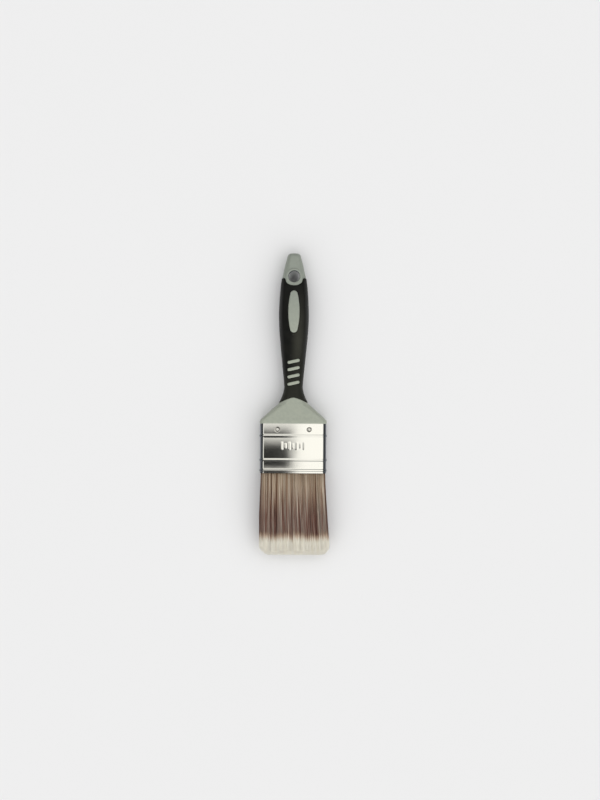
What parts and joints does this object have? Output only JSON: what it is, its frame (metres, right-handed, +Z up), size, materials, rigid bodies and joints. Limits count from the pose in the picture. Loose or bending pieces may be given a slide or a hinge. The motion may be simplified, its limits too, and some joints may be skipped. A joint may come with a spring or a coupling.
{
  "type": "flat paint brush",
  "caption": "Flat paint brush for walls and trim, with synthetic filaments, a beaded metal ferrule and a soft-grip handle with a hanging hole.",
  "frame": {"origin": "under the middle of the lying brush, on the surface it rests on", "axes": "+X across the brush, +Y towards the hanging end of the handle, +Z up, out of the front of the brush"},
  "size_m": [0.054, 0.229, 0.017],
  "materials": {
    "hard_plastic": "satin",
    "soft_rubber": "matte",
    "ferrule_metal": "polished",
    "nail_metal": "satin",
    "plug_wood": "matte",
    "resin": "gloss",
    "filaments": "satin"
  },
  "bodies": {
    "root": {"handle_core": "hard_plastic", "soft_grip": "soft_rubber", "ferrule": "ferrule_metal", "ferrule_nails": "nail_metal", "spacer_plug": "plug_wood", "resin_set": "resin", "filament_front_bank": "filaments", "filament_rear_bank": "filaments"}
  },
  "joints": []
}
